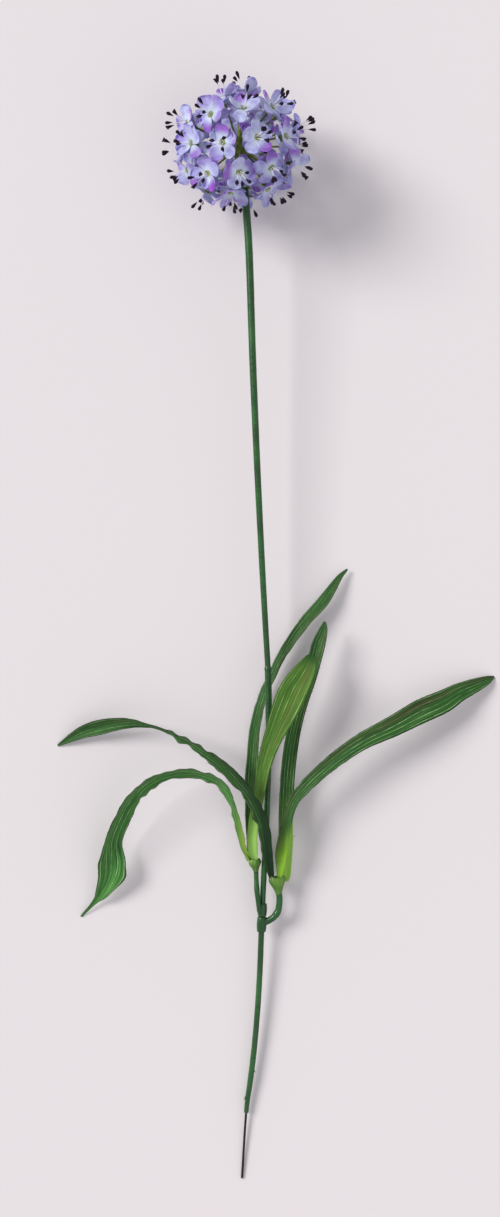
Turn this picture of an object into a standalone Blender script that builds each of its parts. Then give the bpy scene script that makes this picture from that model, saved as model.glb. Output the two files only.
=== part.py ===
"""An artificial allium lying on a table: a head of florets on a wired stem with two sprays of strap leaves.

Metres, +Z up. The head points along +Y and the bare wire foot along -Y. Shapes are laid out in
millimetres about a point on the table under the middle of the stem, and at the end everything is
moved together so that the bottom centre of the whole object's box is the origin.
"""

import math

import bmesh
import bpy
from mathutils import Vector

MM = 0.001
GAP = 0.3  # mm, clearance between neighbouring pieces

# Stem, bottom to top: x, y and height of its centreline, in mm.
STEM_PATH = [
    (-5.3, -378, 0.8),
    (-2.5, -333.5, 3.4),
    (0.8, -308, 4.8),
    (3.8, -280, 6.2),
    (6.2, -245, 8.0),
    (7.6, -210, 10.2),
    (8.9, -180, 12.4),
    (10.4, -150, 14.2),
    (11.8, -115, 16.0),
    (12.3, -80, 17.8),
    (11.9, -45, 19.8),
    (10.3, -15, 21.8),
    (7.8, 30, 24.6),
    (4.8, 90, 28.6),
    (1.8, 160, 33.0),
    (-0.6, 230, 37.0),
    (-3.6, 272, 39.8),
]
HEAD_CENTRE = (-7, 296.5, 42)

STEM_SIDES = 10
WIRE_RADIUS = 0.8
COAT_BORE_RADIUS = WIRE_RADIUS + GAP
COAT_RADIUS = 1.7
COAT_FOOT_RADIUS = 1.4
COAT_FOOT_Y = -334
SPIGOT_RADIUS = 1.4
SPIGOT_FOOT_Y = -76
SPIGOT_TOP_Y = -46
STEM_SOCKET_FOOT_Y = -74
STEM_SOCKET_RADIUS = 2.1
STEM_RING_Y = -39.5
STEM_RING_RADIUS = 2.3
UPPER_STEM_LOW_RADIUS = 1.8
UPPER_STEM_TOP_RADIUS = 2.45
UPPER_STEM_TOP_Y = 271

# Collars on the stem: lower end, upper end, and outer radius, in mm.
LEFT_COLLAR = (-202.5, -194, 2.9)
RIGHT_COLLAR = (-213, -203, 3.05)
COLLAR_BORE_RADIUS = COAT_RADIUS + GAP + 0.05
LEFT_STALK_RADIUS = 1.25
LEFT_STALK_PATH = [(6.3, -199.5, 13.2), (5.6, -194, 14.0), (4.6, -186, 14.4), (4.2, -179, 14.2), (4.0, -173.4, 14)]
RIGHT_STALK_RADIUS = 1.75
RIGHT_STALK_PATH = [
    (9.6, -206.6, 10.4),
    (12.4, -205.4, 10.6),
    (15.6, -203.2, 11.0),
    (18.2, -199.6, 11.5),
    (19.2, -195.4, 12.0),
    (19.4, -190, 12.5),
]

# Leaf cups: foot, mouth, half-width of the mouth and half-depth of the mouth, in mm.
LEFT_CUP = ((4, -172.8, 14.0), (2.8, -164.6, 14.3), 4.7, 3.6)
RIGHT_CUP = ((19.1, -188.4, 12.6), (17.5, -176.4, 13.4), 5.4, 3.4)
CUP_WALL = 0.6
CUP_DEPTH = 2.6

# Leaves: x, y and height halfway between the edges, the blade's width, and how far it is rolled, in mm and degrees.
LEAVES = {
    "leaf_left_low": [
        (-0.5, -163.5, 14, 2.2, 0),
        (-2, -161, 14.6, 3.6, 15),
        (-4.5, -156.5, 15.5, 4.8, 35),
        (-7, -145, 17.5, 6.5, 45),
        (-10, -134.5, 19.5, 7, 50),
        (-13, -124.5, 21.5, 7.5, 52),
        (-18.5, -115.5, 23.5, 8.5, 52),
        (-26, -110.5, 25.5, 9.5, 52),
        (-37.5, -107.5, 27, 11.5, 56),
        (-50.5, -108.5, 27.5, 13, 56),
        (-63, -113, 27, 13.5, 54),
        (-75, -123.5, 24.5, 14, 48),
        (-84, -139.5, 20, 15, 43),
        (-89.5, -154.5, 15.5, 16, 42),
        (-90.5, -167, 12, 19.5, 14),
        (-92.5, -177.5, 9.5, 16, 8),
        (-98, -188.5, 6.5, 9, 10),
        (-102.5, -194, 4.4, 4, 25),
        (-112, -204.5, 0.5, 1.4, 30),
    ],
    "leaf_left_arch": [
        (14, -175.5, 14.6, 3.8, 0),
        (12.5, -168, 17.5, 6, 10),
        (11, -158.5, 22, 8, 20),
        (10, -149.5, 25.5, 9, 25),
        (8, -139.5, 28, 9.5, 25),
        (4, -129.5, 30, 9.5, 25),
        (-1.5, -120, 31, 9.5, 28),
        (-6.5, -114.5, 31.3, 9.5, 30),
        (-12, -108, 31.3, 9.5, 32),
        (-22.5, -99, 30.5, 9, 38),
        (-34, -91.5, 28.5, 9, 48),
        (-45.5, -85, 25.5, 8.5, 60),
        (-57.5, -79.5, 22, 8, 72),
        (-66.5, -77, 19, 8, 68),
        (-76, -75.5, 16, 8.5, 42),
        (-87, -76, 12.5, 9.5, 20),
        (-97.5, -78, 9.5, 11, 15),
        (-108.5, -81, 6.5, 9.5, 12),
        (-118, -85.5, 4, 6, 5),
        (-127.5, -91, 0.4, 1.4, 0),
    ],
    "leaf_rear_tall": [
        (3.5, -165, 13.2, 3.6, 0),
        (1.5, -159, 12, 6.5, 0),
        (1, -151, 11, 7, 0),
        (0.5, -139.5, 10.4, 7.5, 0),
        (0.5, -126, 10, 8, 10),
        (0.5, -113, 9.8, 8.5, 15),
        (1.5, -98.5, 9.6, 8.5, 20),
        (2.5, -83.5, 9.5, 8.5, 30),
        (5, -69.5, 9.5, 8.5, 40),
        (9, -55.5, 9.5, 8.5, 48),
        (13, -47, 9.5, 8.5, 52),
        (19, -34, 9.5, 8.5, 48),
        (27, -21, 9.2, 9, 42),
        (37, -7.5, 8.5, 9, 35),
        (47.5, 4, 7.2, 8.5, 20),
        (54, 13, 5.8, 6.5, 10),
        (59.5, 21, 4.4, 3.8, 5),
        (64.5, 26, 3, 1.2, 0),
    ],
    "leaf_front_pale": [
        (3.5, -165, 15.2, 3.6, 0),
        (2, -158.5, 16.4, 6.5, 0),
        (1.5, -149, 17.8, 7, 0),
        (3, -137, 19.6, 7.5, 0),
        (5, -125, 21.4, 8, 0),
        (7, -114, 23.2, 8.5, 0),
        (9, -102.5, 25, 10, 0),
        (13, -89, 27, 12, 0),
        (18, -76.5, 28.6, 15.2, 0),
        (22.5, -66, 30, 18.6, 0),
        (27, -55.5, 31.4, 20, 0),
        (32, -46.5, 32.4, 18, 0),
        (36.5, -39, 32.2, 14, 0),
        (39, -34, 30.6, 9.5, 0),
        (41, -31, 27.4, 5.5, 0),
    ],
    "leaf_upright": [
        (24, -180, 8.2, 3, 0),
        (23.5, -176, 8.6, 7, 0),
        (23, -167, 9.6, 9.5, 0),
        (23.5, -153.5, 11, 10, 0),
        (23.5, -139, 12.4, 10, 0),
        (24, -122.5, 13.6, 10, 4),
        (25, -106, 14.6, 10, 5),
        (27, -89.5, 15.4, 10, 6),
        (30, -74.5, 16.2, 9.5, 10),
        (34, -60, 17, 9.5, 12),
        (38.5, -47, 17.6, 9.5, 10),
        (42, -34.5, 18, 9.5, 6),
        (45, -23, 18, 9.3, 4),
        (48, -14, 17.5, 6, 0),
        (49, -8.5, 16.8, 1.4, 0),
    ],
    "leaf_right_long": [
        (19.5, -175, 14.8, 4, 0),
        (20, -169, 16.4, 6, 5),
        (20.5, -160, 18.4, 8.5, 10),
        (22, -148.5, 20.4, 7.5, 15),
        (25, -135, 21.8, 7.2, 22),
        (29, -124.5, 22.4, 8, 25),
        (36, -116, 22.8, 9.5, 28),
        (46.5, -106, 23, 10.5, 26),
        (59.5, -95.5, 22.6, 11.5, 26),
        (75, -85.5, 21.4, 13, 25),
        (93, -77, 19, 15, 20),
        (111.5, -67.5, 15.4, 17, 14),
        (127, -61, 12, 16, 10),
        (137, -55.5, 9.4, 13, 6),
        (148, -51, 6, 10, 4),
        (157, -47.5, 3.2, 6, 0),
        (162, -45.5, 0.4, 1.6, 0),
    ],
}
LEAF_THICKNESS = 0.6
LEAF_STATIONS = 24
LEAF_FOLD = 20  # degrees that each half of a blade rises from the midrib

HUB_RADIUS = 6.5
HUB_NECK_LENGTH = 7.5  # from the head's centre down the stem, beyond the ball
HUB_WALL = 1.0

# The head is an ellipsoid of floret throats, a little flatter along the stem than across it.
HEAD_RADIUS_ACROSS = 38.5
HEAD_RADIUS_ALONG = 33.5
# Florets on the upper side: degrees from straight up, then the bearing of the lean, 0 at +X and 90 at +Y.
UPPER_FLORETS = [
    (15, 205), (18, 347), (31, 86), (36, 148), (34, 274), (46, 38), (48, 112), (47, 0), (47, 182),
    (47, 310), (52, 232), (66, 205), (76, 15), (78, 340), (74, 262), (78, 296), (78, 92), (72, 160),
]
LOWER_FLORETS = 14
LOWER_RANGE = (-0.16, -0.98)  # cosines of their first and last tilt
SPREAD_DEGREES = 33
STEM_CLEARANCE_DEGREES = 30
SPREAD_ROUNDS = 120
NO_FLORET_WAY = (0.31, 0.2, 0.93)  # a direction that no floret faces, to measure turns from

PEDICEL_RADIUS = 0.85
CALYX_RADIUS = 1.9
CALYX_LENGTH = 7
PETALS = 5
PETAL_REACH = 10.2
PETAL_WIDEST = (6.8, 4.0)  # distance out, half-width
PETAL_TIP_HALF_WIDTH = 2.3
PETAL_LIFT = (0.5, 1.6)  # how far the petal rises at its widest place and at its tip
PETAL_THICKNESS = 0.6
STAMEN_LENGTH = 12.5
STAMEN_SPLAY = 17  # degrees
STAMENS = 4
STAMEN_INSET = 0.32  # from the edges of its share of the throat
STAMEN_RING_RADIUS = 0.9
FILAMENT_RADIUS = 0.35
CLUB_RADIUS = 0.95
CLUB_START = 0.7  # share of the stamen's length
STAMEN_REST_HEIGHT = 1.0  # lowest that a stamen's middle may lie, in mm above the table

COLOURS = {
    "petal": (0.50, 0.53, 0.80, 0.75, 0.0),
    "hub": (0.13, 0.17, 0.02, 0.55, 0.0),
    "stem": (0.02, 0.10, 0.02, 0.40, 0.0),
    "cup": (0.16, 0.27, 0.04, 0.50, 0.0),
    "leaf": (0.03, 0.13, 0.03, 0.65, 0.0),
    "pale_leaf": (0.13, 0.28, 0.05, 0.65, 0.0),
    "wire": (0.05, 0.05, 0.045, 0.45, 0.9),
}


def material(kind):
    """The material of one kind of piece: colour, roughness and metallic value."""
    made = bpy.data.materials.new(kind)
    made.use_nodes = True
    red, green, blue, roughness, metallic = COLOURS[kind]
    shader = made.node_tree.nodes["Principled BSDF"]
    shader.inputs["Base Color"].default_value = (red, green, blue, 1)
    shader.inputs["Roughness"].default_value = roughness
    shader.inputs["Metallic"].default_value = metallic
    return made


def add_object(name, mesh, kind, parent):
    """Puts a mesh into the scene under its own name, with its own material."""
    mesh.materials.append(material(kind))
    mesh.shade_smooth()
    mesh.set_sharp_from_angle(angle=math.radians(40))
    made = bpy.data.objects.new(name, mesh)
    made.parent = parent
    bpy.context.scene.collection.objects.link(made)
    return made


def smooth_path(points, steps):
    """A Catmull-Rom curve through rows of numbers, with the same number of steps between each two."""
    rows = [list(map(float, p)) for p in points]
    first = [2 * a - b for a, b in zip(rows[0], rows[1])]
    last = [2 * a - b for a, b in zip(rows[-1], rows[-2])]
    rows = [first, *rows, last]
    found = []
    for i in range(1, len(rows) - 2):
        for step in range(steps):
            t = step / steps
            found.append([catmull(rows[i - 1][k], rows[i][k], rows[i + 1][k], rows[i + 2][k], t)
                          for k in range(len(rows[i]))])
    found.append(rows[-2])
    return found


def catmull(a, b, c, d, t):
    """One value on the curve between b and c."""
    return 0.5 * (2 * b + (c - a) * t + (2 * a - 5 * b + 4 * c - d) * t * t + (3 * b - a - 3 * c + d) * t ** 3)


def resample(rows, count):
    """The same curve with evenly spaced rows; the first three numbers of a row are its place."""
    places = [Vector(row[:3]) for row in rows]
    run = [0.0]
    for a, b in zip(places, places[1:]):
        run.append(run[-1] + (b - a).length)
    found = []
    i = 0
    for step in range(count):
        goal = run[-1] * step / (count - 1)
        while i < len(run) - 2 and run[i + 1] < goal:
            i += 1
        share = (goal - run[i]) / max(run[i + 1] - run[i], 1e-9)
        found.append([a + (b - a) * share for a, b in zip(rows[i], rows[i + 1])])
    return found


def loft(rings):
    """A closed mesh in metres through rings of points in mm, with a cap on the first and on the last."""
    bm = bmesh.new()
    made = [[bm.verts.new(Vector(p) * MM) for p in ring] for ring in rings]
    count = len(rings[0])
    for low, high in zip(made, made[1:]):
        for i in range(count):
            j = (i + 1) % count
            bm.faces.new((low[i], low[j], high[j], high[i]))
    bm.faces.new(made[0][::-1])
    bm.faces.new(made[-1])
    return finished(bm)


def finished(bm):
    """The mesh of a bmesh whose faces have been turned outwards."""
    bmesh.ops.recalc_face_normals(bm, faces=bm.faces)
    mesh = bpy.data.meshes.new("mesh")
    bm.to_mesh(mesh)
    bm.free()
    return mesh


def ring_about(centre, tangent, radius, sides, depth=None, turn=0.0):
    """A round or oval ring of points across a tangent; depth is the half-height of an oval one."""
    tangent = tangent.normalized()
    side = tangent.cross(Vector((0, 0, 1))).normalized()
    up = side.cross(tangent)
    depth = radius if depth is None else depth
    points = []
    for i in range(sides):
        angle = 2 * math.pi * i / sides + turn
        points.append(centre + side * radius * math.cos(angle) + up * depth * math.sin(angle))
    return points


def tangents(places):
    """The direction of travel at each place on a path."""
    last = len(places) - 1
    return [places[min(i + 1, last)] - places[max(i - 1, 0)] for i in range(last + 1)]


def tube_rings(places, radii, sides):
    """One ring at each place on a path."""
    return [ring_about(p, t, r, sides) for p, t, r in zip(places, tangents(places), radii)]


def stem_point(y):
    """The place on the stem's centreline at this distance along Y."""
    rows = smooth_path(STEM_PATH, 8)
    for a, b in zip(rows, rows[1:]):
        if a[1] <= y <= b[1]:
            return Vector(a).lerp(Vector(b), (y - a[1]) / (b[1] - a[1]))
    return Vector(rows[0] if y < rows[0][1] else rows[-1])


def stem_stretch(start, end, pieces):
    """Evenly spaced places along the stem."""
    return [stem_point(start + (end - start) * i / pieces) for i in range(pieces + 1)]


def build_wire(parent):
    """The steel wire: bare at the foot, and inside the lower stem's coat above it."""
    places = stem_stretch(STEM_PATH[0][1], SPIGOT_TOP_Y - 4, 22)
    mesh = loft(tube_rings(places, [WIRE_RADIUS] * len(places), STEM_SIDES))
    add_object("stem_wire", mesh, "wire", parent)


def build_lower_stem(parent):
    """The coat over the wire: a blind bore from its foot, and a thinner spigot at its top."""
    bore = stem_stretch(COAT_FOOT_Y, SPIGOT_TOP_Y - 2.5, 22)
    rings = tube_rings(bore, [COAT_BORE_RADIUS] * len(bore), STEM_SIDES)[::-1]
    foot = stem_stretch(COAT_FOOT_Y, COAT_FOOT_Y + 12, 2)
    body = stem_stretch(COAT_FOOT_Y + 22, SPIGOT_FOOT_Y, 18)
    spigot = stem_stretch(SPIGOT_FOOT_Y + 1, SPIGOT_TOP_Y, 2)
    radii = [COAT_FOOT_RADIUS, COAT_FOOT_RADIUS + 0.1, COAT_FOOT_RADIUS + 0.2]
    radii += [COAT_RADIUS] * len(body) + [SPIGOT_RADIUS] * len(spigot)
    rings += tube_rings(foot + body + spigot, radii, STEM_SIDES)
    add_object("lower_stem", loft(rings), "stem", parent)


def build_upper_stem(parent):
    """The smooth tube under the head: a blind bore over the spigot, a raised ring, and a slow taper."""
    bore = stem_stretch(STEM_SOCKET_FOOT_Y, SPIGOT_TOP_Y + 1, 3)
    rings = tube_rings(bore, [SPIGOT_RADIUS + GAP] * len(bore), STEM_SIDES)[::-1]
    socket = stem_stretch(STEM_SOCKET_FOOT_Y, STEM_RING_Y - 1.2, 3)
    ring = stem_stretch(STEM_RING_Y - 0.6, STEM_RING_Y + 0.6, 1)
    body = stem_stretch(STEM_RING_Y + 1.4, UPPER_STEM_TOP_Y, 16)
    radii = [STEM_SOCKET_RADIUS] * len(socket) + [STEM_RING_RADIUS] * len(ring)
    spread = UPPER_STEM_TOP_RADIUS - UPPER_STEM_LOW_RADIUS
    radii += [UPPER_STEM_LOW_RADIUS + spread * i / (len(body) - 1) for i in range(len(body))]
    rings += tube_rings(socket + ring + body, radii, STEM_SIDES)
    add_object("upper_stem", loft(rings), "stem", parent)


def helper(name, mesh, parent):
    """A solid that only shapes another piece, and is not part of the object."""
    made = bpy.data.objects.new(name, mesh)
    made.parent = parent
    made.hide_render = True
    made.display_type = "WIRE"
    bpy.context.scene.collection.objects.link(made)
    return made


def boolean(target, operation, other):
    """Joins another solid to the target, or cuts it out."""
    modifier = target.modifiers.new(other.name, "BOOLEAN")
    modifier.operation = operation
    modifier.object = other


def build_branch(name, collar, stalk_path, stalk_radius, parent):
    """A barrel-shaped collar around the lower stem with a stalk that leaves its side."""
    low, high, radius = collar
    swell = [0.84, 0.96, 1.0, 1.02, 1.0, 0.96, 0.84]
    places = stem_stretch(low, high, len(swell) - 1)
    made = add_object(name, loft(tube_rings(places, [radius * s for s in swell], 16)), "stem", parent)
    path = [Vector(row) for row in smooth_path(stalk_path, 3)]
    stalk = helper(name + "_stalk", loft(tube_rings(path, [stalk_radius] * len(path), 10)), parent)
    bore_places = stem_stretch(low - 6, high + 6, 4)
    bore = helper(name + "_bore", loft(tube_rings(bore_places, [COLLAR_BORE_RADIUS] * 5, 16)), parent)
    boolean(made, "UNION", stalk)
    boolean(made, "DIFFERENCE", bore)


def build_cup(name, cup, parent):
    """A flared moulded cup that holds the feet of the leaves."""
    foot, mouth, half_width, half_depth = Vector(cup[0]), Vector(cup[1]), cup[2], cup[3]
    along = mouth - foot
    floor = 1 - CUP_DEPTH / along.length
    profile = [(0.0, 0.34, 0.56), (0.3, 0.5, 0.74), (0.65, 0.78, 0.95), (0.9, 0.97, 1.0), (1.0, 1.0, 1.0)]
    rings = [ring_about(foot + along * s, along, half_width * w, 12, half_depth * d) for s, w, d in profile]
    inner_width, inner_depth = half_width - CUP_WALL, half_depth - CUP_WALL
    rings.append(ring_about(mouth, along, inner_width, 12, inner_depth))
    rings.append(ring_about(foot + along * floor, along, inner_width * 0.86, 12, inner_depth * 0.92))
    add_object(name, loft(rings), "cup", parent)


def leaf_frames(rows):
    """Midrib, direction across the blade, direction out of its face, and half-width at each station."""
    places = [Vector(row[:3]) for row in rows]
    found = []
    for place, tangent, row in zip(places, tangents(places), rows):
        tangent = tangent.normalized()
        side = tangent.cross(Vector((0, 0, 1))).normalized()
        up = side.cross(tangent)
        roll = math.radians(row[4])
        across = side * math.cos(roll) + up * math.sin(roll)
        out = up * math.cos(roll) - side * math.sin(roll)
        half = row[3] / 2
        midrib = place + side * half * math.sin(math.radians(LEAF_FOLD)) * math.sin(roll)
        found.append((midrib, across, out, half))
    return found


def build_leaf(name, rows, parent):
    """A strap leaf: a strip folded along its midrib and given its thickness by a Solidify."""
    bm = bmesh.new()
    fold = math.radians(LEAF_FOLD)
    stations = []
    for centre, across, out, half in leaf_frames(resample(smooth_path(rows, 8), LEAF_STATIONS)):
        reach, rise = across * half * math.cos(fold), out * half * math.sin(fold)
        stations.append([bm.verts.new(p * MM) for p in (centre - reach + rise, centre, centre + reach + rise)])
    for low, high in zip(stations, stations[1:]):
        for i in range(2):
            bm.faces.new((low[i], low[i + 1], high[i + 1], high[i]))
    mesh = bpy.data.meshes.new(name)
    bm.to_mesh(mesh)
    bm.free()
    made = add_object(name, mesh, "pale_leaf" if name == "leaf_front_pale" else "leaf", parent)
    solidify = made.modifiers.new("thickness", "SOLIDIFY")
    solidify.thickness = LEAF_THICKNESS * MM
    solidify.offset = 0


def head_axis():
    """The stem's direction where it enters the head."""
    return (Vector(HEAD_CENTRE) - stem_point(UPPER_STEM_TOP_Y - 6)).normalized()


def build_hub(parent):
    """A ball with a neck that fits over the top of the stem."""
    centre, axis = Vector(HEAD_CENTRE), head_axis()
    neck_foot = -(HUB_RADIUS + HUB_NECK_LENGTH)
    bore_radius = UPPER_STEM_TOP_RADIUS + GAP
    stem_end = (stem_point(UPPER_STEM_TOP_Y) - centre).dot(axis)
    profile = [(stem_end + 1, bore_radius), (neck_foot, bore_radius), (neck_foot, bore_radius + HUB_WALL)]
    profile.append((-HUB_RADIUS * 0.95, bore_radius + HUB_WALL))
    for degrees in (-30, 0, 30, 60, 80):
        angle = math.radians(degrees)
        profile.append((HUB_RADIUS * math.sin(angle), HUB_RADIUS * math.cos(angle)))
    rings = [ring_about(centre + axis * along, axis, radius, 12) for along, radius in profile]
    add_object("flower_hub", loft(rings), "hub", parent)


def direction(tilt, bearing):
    """A unit vector from degrees off straight up and a bearing around it."""
    tilt, bearing = math.radians(tilt), math.radians(bearing)
    return Vector((math.sin(tilt) * math.cos(bearing), math.sin(tilt) * math.sin(bearing), math.cos(tilt)))


def floret_directions():
    """Directions of all florets: the upper ones as placed, the lower ones on a spiral, then spread apart."""
    found = [direction(*row) for row in UPPER_FLORETS]
    golden = 180 * (3 - math.sqrt(5))
    for i in range(LOWER_FLORETS):
        share = i / (LOWER_FLORETS - 1)
        tilt = math.degrees(math.acos(LOWER_RANGE[0] * (1 - share) + LOWER_RANGE[1] * share))
        found.append(direction(tilt, 40 + golden * i))
    stem = -head_axis()
    for _ in range(SPREAD_ROUNDS):
        moved = []
        for one in found:
            push = Vector()
            for other in found:
                if other is not one:
                    push += apart(one, other, SPREAD_DEGREES)
            push += apart(one, stem, STEM_CLEARANCE_DEGREES) * 3
            moved.append((one + push * 0.25).normalized())
        found = moved
    return found


def apart(one, other, degrees):
    """A push away from a neighbour that is nearer than this many degrees."""
    angle = one.angle(other)
    wanted = math.radians(degrees)
    if angle >= wanted:
        return Vector()
    away = one - other * one.dot(other)
    return away.normalized() * (wanted - angle)


def throat_distance(way):
    """How far the throat of a floret facing this way lies from the head's centre."""
    axis = head_axis()
    along = way.dot(axis)
    across = math.sqrt(max(1 - along * along, 0))
    return 1 / math.hypot(across / HEAD_RADIUS_ACROSS, along / HEAD_RADIUS_ALONG)


def floret_frame(way, turn):
    """Two directions across a floret, turned about its own axis."""
    side = way.cross(Vector(NO_FLORET_WAY)).normalized()
    up = way.cross(side)
    return (side * math.cos(turn) + up * math.sin(turn), up * math.cos(turn) - side * math.sin(turn))


def around(side, up, angle):
    """A direction across the floret's axis."""
    return side * math.cos(angle) + up * math.sin(angle)


def grow_petal(bm, face, throat, way, out):
    """Draws a side face of the floret's disc outwards into a petal."""
    lateral = way.cross(out)
    steps = [(PETAL_WIDEST[0], PETAL_WIDEST[1], PETAL_LIFT[0]),
             (PETAL_REACH, PETAL_TIP_HALF_WIDTH, PETAL_LIFT[1])]
    for reach, half_width, lift in steps:
        face = bmesh.ops.extrude_discrete_faces(bm, faces=[face])["faces"][0]
        middle = face.calc_center_median()
        for vert in face.verts:
            offset = vert.co - middle
            sideways = math.copysign(half_width, offset.dot(lateral))
            height = lift + math.copysign(PETAL_THICKNESS / 2, offset.dot(way))
            vert.co = (throat + out * reach + lateral * sideways + way * height) * MM


def stamen_point(throat, way, lean, share):
    """A place on a stamen; one that would pass through the table lies along it instead."""
    splay = math.radians(STAMEN_SPLAY)
    length = STAMEN_LENGTH * share
    place = throat + way * length * math.cos(splay) + lean * (STAMEN_RING_RADIUS + length * math.sin(splay))
    short = STAMEN_REST_HEIGHT - place.z
    if short > 0:
        outward = Vector((place.x - HEAD_CENTRE[0], place.y - HEAD_CENTRE[1], 0))
        place += outward.normalized() * short * 0.8
        place.z = STAMEN_REST_HEIGHT
    return place


def grow_stamen(bm, face, throat, way):
    """Draws one triangle of the floret's top outwards into a filament with a club at its end."""
    bmesh.ops.inset_individual(bm, faces=[face], thickness=STAMEN_INSET * MM)
    middle = face.calc_center_median()
    lean = middle / MM - throat
    lean = (lean - way * lean.dot(way)).normalized()
    previous = middle / MM
    for share, radius in ((CLUB_START / 2, FILAMENT_RADIUS), (CLUB_START, FILAMENT_RADIUS), (1.0, CLUB_RADIUS)):
        place = stamen_point(throat, way, lean, share)
        heading = (place - previous).normalized()
        face = bmesh.ops.extrude_discrete_faces(bm, faces=[face])["faces"][0]
        centre = face.calc_center_median()
        for vert in face.verts:
            offset = vert.co - centre
            offset -= heading * offset.dot(heading)
            vert.co = place * MM + offset.normalized() * radius * MM
        previous = place


def pedicel_start(way):
    """How far from the head's centre a pedicel begins: on the ball, or beside the neck when it is close to it."""
    if way.dot(head_axis()) > 0:
        return HUB_RADIUS + GAP
    beside = UPPER_STEM_TOP_RADIUS + HUB_WALL + PEDICEL_RADIUS + 3 * GAP
    return max(HUB_RADIUS + GAP, beside / math.sin(way.angle(-head_axis())))


def build_floret(name, way, turn, parent):
    """One floret: its pedicel on the hub, five petals, and the stamens that stand out of its throat."""
    head = Vector(HEAD_CENTRE)
    reach = throat_distance(way)
    throat = head + way * reach
    side, up = floret_frame(way, turn)
    half = PETAL_THICKNESS / 2
    profile = [(pedicel_start(way), PEDICEL_RADIUS), (reach - CALYX_LENGTH, PEDICEL_RADIUS),
               (reach - half, CALYX_RADIUS), (reach + half, CALYX_RADIUS)]
    bm = bmesh.new()
    step = 2 * math.pi / PETALS
    rings = [[bm.verts.new((head + way * along + around(side, up, step * i) * radius) * MM)
              for i in range(PETALS)] for along, radius in profile]
    for low, high in zip(rings, rings[1:]):
        for i in range(PETALS):
            j = (i + 1) % PETALS
            bm.faces.new((low[i], low[j], high[j], high[i]))
    bm.faces.new(rings[0][::-1])
    top = bm.faces.new(rings[-1])
    bmesh.ops.recalc_face_normals(bm, faces=bm.faces)
    bm.faces.ensure_lookup_table()
    sides = [face for face in bm.faces if set(face.verts) <= set(rings[-1] + rings[-2]) and face is not top]
    for face in sides:
        out = face.calc_center_median() / MM - throat
        out = (out - way * out.dot(way)).normalized()
        grow_petal(bm, face, throat, way, out)
    pieces = bmesh.ops.poke(bm, faces=[top])["faces"]
    for face in pieces[:STAMENS]:
        grow_stamen(bm, face, throat, way)
    add_object(name, finished(bm), "petal", parent)


def build_head(parent):
    """The hub and every floret on it."""
    build_hub(parent)
    for i, way in enumerate(floret_directions()):
        build_floret(f"floret_{i + 1:02d}", way, math.radians(137.5 * i), parent)


def stand_on_origin(parent):
    """Moves the whole object so that the bottom centre of its box is the origin."""
    bpy.context.view_layer.update()
    graph = bpy.context.evaluated_depsgraph_get()
    corners = []
    for made in bpy.context.scene.objects:
        if made.type == "MESH" and not made.hide_render:
            mesh = made.evaluated_get(graph).to_mesh()
            corners += [vert.co.copy() for vert in mesh.vertices]
    low = [min(c[k] for c in corners) for k in range(3)]
    high = [max(c[k] for c in corners) for k in range(3)]
    parent.location = (-(low[0] + high[0]) / 2, -(low[1] + high[1]) / 2, -low[2])


def main():
    for old in list(bpy.data.objects):
        bpy.data.objects.remove(old)
    parent = bpy.data.objects.new("allium_pick", None)
    bpy.context.scene.collection.objects.link(parent)
    build_wire(parent)
    build_lower_stem(parent)
    build_upper_stem(parent)
    build_branch("left_branch", LEFT_COLLAR, LEFT_STALK_PATH, LEFT_STALK_RADIUS, parent)
    build_branch("right_branch", RIGHT_COLLAR, RIGHT_STALK_PATH, RIGHT_STALK_RADIUS, parent)
    build_cup("left_leaf_socket", LEFT_CUP, parent)
    build_cup("right_leaf_socket", RIGHT_CUP, parent)
    for name, rows in LEAVES.items():
        build_leaf(name, rows, parent)
    build_head(parent)
    stand_on_origin(parent)


main()
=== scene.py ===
import math
import random

import bpy
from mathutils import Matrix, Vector, noise

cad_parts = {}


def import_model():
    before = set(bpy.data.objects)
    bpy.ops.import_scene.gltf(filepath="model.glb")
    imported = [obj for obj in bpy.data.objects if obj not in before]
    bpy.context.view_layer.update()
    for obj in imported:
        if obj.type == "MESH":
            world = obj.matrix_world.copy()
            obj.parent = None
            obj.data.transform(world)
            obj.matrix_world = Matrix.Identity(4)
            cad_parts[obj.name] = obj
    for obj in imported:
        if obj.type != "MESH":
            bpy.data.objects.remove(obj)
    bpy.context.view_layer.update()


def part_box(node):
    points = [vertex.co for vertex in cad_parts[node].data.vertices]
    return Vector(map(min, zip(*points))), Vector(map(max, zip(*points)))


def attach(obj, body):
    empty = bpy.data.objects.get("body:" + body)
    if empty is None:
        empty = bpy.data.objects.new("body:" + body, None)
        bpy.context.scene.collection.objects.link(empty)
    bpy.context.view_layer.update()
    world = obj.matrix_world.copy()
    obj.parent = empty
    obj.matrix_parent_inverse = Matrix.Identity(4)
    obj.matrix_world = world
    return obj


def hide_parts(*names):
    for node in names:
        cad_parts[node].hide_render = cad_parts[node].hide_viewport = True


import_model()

MM = 0.001
UP = Vector((0, 0, 1))

# ---------------- sizes shared with the CAD, in mm

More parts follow.
